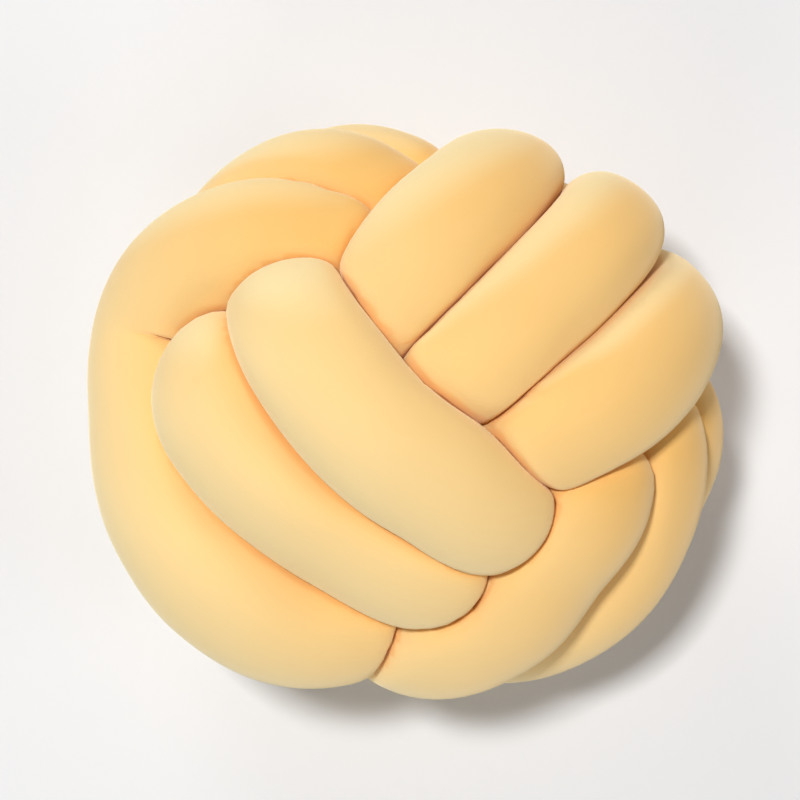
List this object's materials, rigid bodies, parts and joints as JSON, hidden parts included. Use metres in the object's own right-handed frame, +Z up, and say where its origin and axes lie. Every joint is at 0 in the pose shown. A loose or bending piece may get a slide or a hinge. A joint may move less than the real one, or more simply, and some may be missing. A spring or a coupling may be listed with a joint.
{
  "type": "knot cushion",
  "caption": "Round cushion tied from one long stuffed plush tube in a ball knot, with a small flat spot to rest on.",
  "frame": {"origin": "under the middle of the ball, on the surface that it rests on", "axes": "+Z up from the resting surface, +X along the ball's widest way, +Y along its next widest"},
  "size_m": [0.288, 0.2588, 0.2501],
  "materials": {
    "plush": "soft short-pile plush, warm yellow"
  },
  "bodies": {
    "root": {"knot_ball": "plush"}
  },
  "joints": []
}
